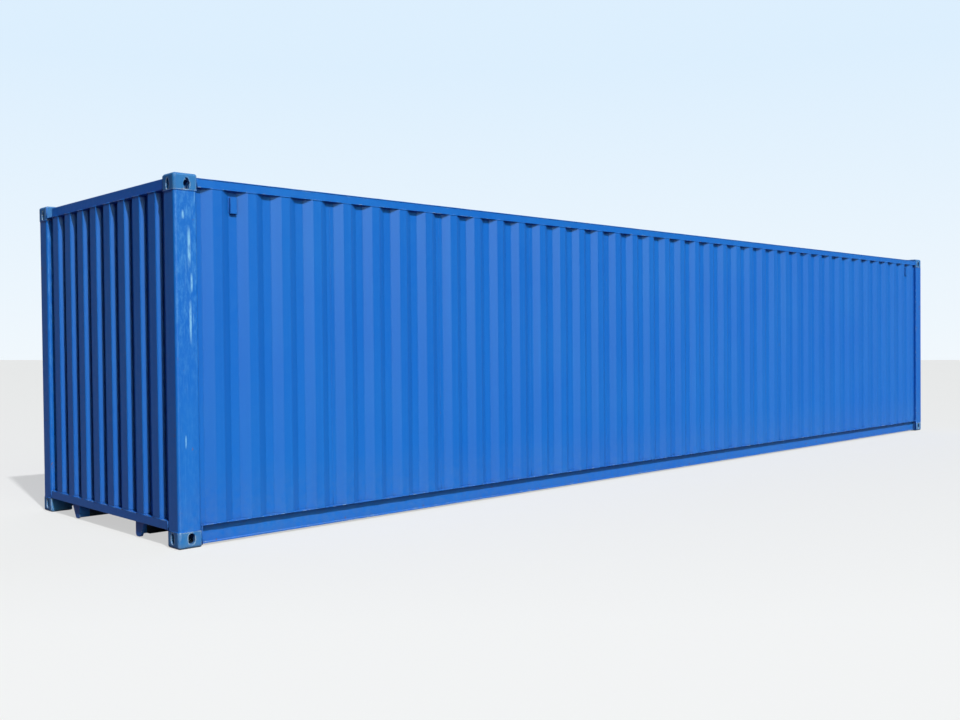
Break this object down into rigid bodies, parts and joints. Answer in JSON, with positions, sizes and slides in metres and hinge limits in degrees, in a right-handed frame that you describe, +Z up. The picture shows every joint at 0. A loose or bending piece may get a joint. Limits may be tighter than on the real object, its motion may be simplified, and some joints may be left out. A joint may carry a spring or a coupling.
{
  "type": "dry freight container",
  "caption": "Long blue corrugated steel freight container with a blind front end, closed rear doors and corner castings.",
  "frame": {"origin": "bottom centre of the box, on the plane of the bottom corner castings", "axes": "+X along the length from the blind front end to the doors, +Z up; the long side in the picture faces -Y"},
  "size_m": [12.192, 2.438, 2.591],
  "materials": {
    "casting": "worn paint on cast steel",
    "frame": "semi-gloss paint",
    "wall": "semi-gloss paint",
    "roof": "dusty paint",
    "door": "semi-gloss paint",
    "gear": "paint worn at the edges",
    "underframe": "dull underside coating",
    "gasket": "matte",
    "plywood": "worn plywood"
  },
  "bodies": {
    "root": {"bar_guides": "gear", "bottom_casting_front_left": "casting", "bottom_casting_front_right": "casting", "bottom_casting_rear_left": "casting", "bottom_casting_rear_right": "casting", "cam_keepers": "gear", "cross_members": "underframe", "door_handles": "gear", "door_header": "frame", "door_sill": "frame", "floor": "plywood", "front_end_wall": "wall", "front_sill": "frame", "front_top_rail": "frame", "handle_retainers": "gear", "hinge_blades": "gear", "hinge_lugs": "gear", "left_bottom_rail": "frame", "left_door_frame": "door", "left_door_gasket": "gasket", "left_door_panel": "door", "left_front_post": "frame", "left_rear_post": "frame", "left_side_wall": "wall", "left_top_rail": "frame", "locking_bars": "gear", "right_bottom_rail": "frame", "right_door_frame": "door", "right_door_gasket": "gasket", "right_door_panel": "door", "right_front_post": "frame", "right_rear_post": "frame", "right_side_wall": "wall", "right_top_rail": "frame", "roof": "roof", "roof_corner_plates": "roof", "side_vents": "wall", "top_casting_front_left": "casting", "top_casting_front_right": "casting", "top_casting_rear_left": "casting", "top_casting_rear_right": "casting", "tunnel_gussets": "frame", "tunnel_outriggers": "underframe", "tunnel_plate": "underframe", "tunnel_rails": "underframe"}
  },
  "joints": []
}
